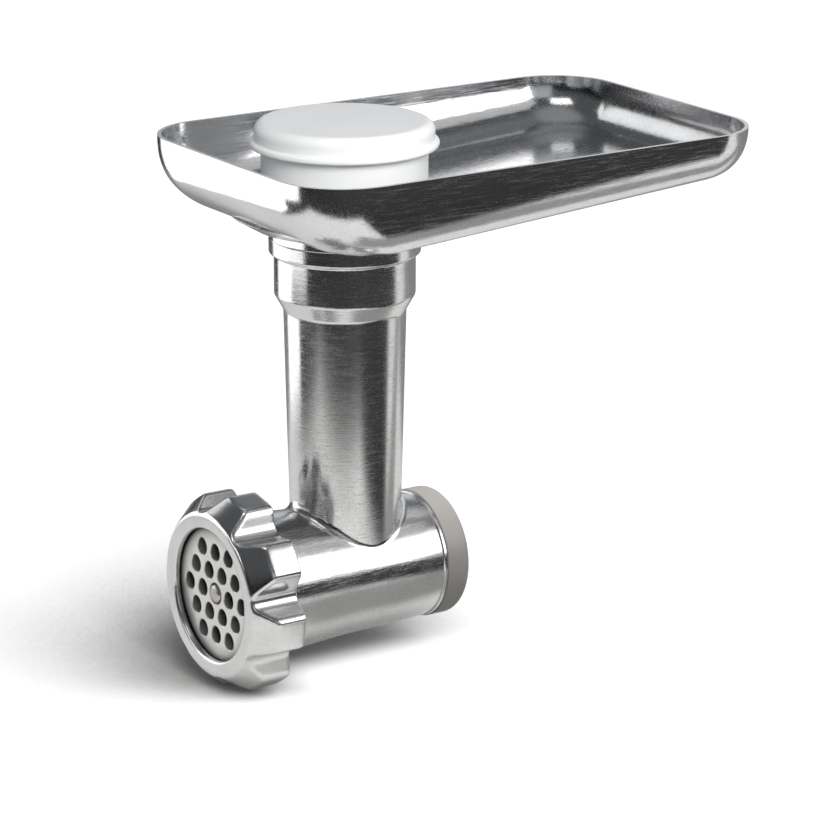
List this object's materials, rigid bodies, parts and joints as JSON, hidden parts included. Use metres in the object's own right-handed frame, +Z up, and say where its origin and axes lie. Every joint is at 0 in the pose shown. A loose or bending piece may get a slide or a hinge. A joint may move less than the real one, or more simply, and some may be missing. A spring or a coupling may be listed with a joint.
{
  "type": "meat grinder attachment",
  "caption": "Mincer head for a kitchen machine: cast body with feed tube, auger, cutter and perforated plate, lobed screw ring, pressed feed tray, and a hollow pusher with a lid.",
  "frame": {"origin": "centre of the drive socket's mouth, on the barrel axis", "axes": "+X out of the drive socket along the barrel axis, -X towards the screw ring, +Z up along the feed tube"},
  "size_m": [0.2104, 0.131, 0.2099],
  "materials": {
    "cast_aluminium": "polished casting with a fine grain",
    "pressed_aluminium": "polished sheet with fine lengthwise brush lines",
    "tool_steel": "ground satin",
    "zinc_steel": "plated, satin",
    "grey_plastic": "satin, fine moulded texture",
    "driver_plastic": "satin",
    "bearing_plastic": "smooth",
    "seal_rubber": "matt",
    "white_plastic": "satin, fine moulded texture"
  },
  "bodies": {
    "body": {"grinder_body": "cast_aluminium", "plate_key_pin": "tool_steel", "rear_hub": "grey_plastic", "hub_screws": "zinc_steel", "rear_bearing_bush": "bearing_plastic", "shaft_seal": "seal_rubber", "thrust_washer": "bearing_plastic"},
    "auger": {"auger": "cast_aluminium", "auger_front_stud": "tool_steel", "drive_shaft": "tool_steel", "shaft_clip": "zinc_steel", "drive_coupling": "driver_plastic", "coupling_washer": "zinc_steel", "coupling_screw": "zinc_steel", "cutter_blade": "tool_steel"},
    "plate": {"perforated_plate": "tool_steel"},
    "ring": {"screw_ring": "cast_aluminium"},
    "tray": {"feed_tray": "pressed_aluminium"},
    "pusher": {"pusher_body": "white_plastic"},
    "lid": {"pusher_lid": "white_plastic"}
  },
  "joints": [
    {"name": "auger_spin", "type": "hinge", "parent": "body", "child": "auger", "pos_m": [0, 0, 0], "axis": [1, 0, 0], "continuous": true},
    {"name": "plate_slide", "type": "slide", "parent": "body", "child": "plate", "axis": [-1, 0, 0], "range_m": [0, 0.015]},
    {"name": "ring_turn", "type": "hinge", "parent": "plate", "child": "ring", "pos_m": [-0.1016, 0, 0], "axis": [-1, 0, 0], "range_deg": [0, 1800]},
    {"name": "tray_lift", "type": "slide", "parent": "body", "child": "tray", "axis": [0, 0, 1], "range_m": [0, 0.06]},
    {"name": "pusher_slide", "type": "slide", "parent": "tray", "child": "pusher", "axis": [0, 0, 1], "range_m": [0, 0.085]},
    {"name": "lid_lift", "type": "slide", "parent": "pusher", "child": "lid", "axis": [0, 0, 1], "range_m": [0, 0.03]}
  ],
  "couplings": [
    {"joint": "plate_slide", "follows": "ring_turn", "m_per_rad": 0.00047746}
  ]
}
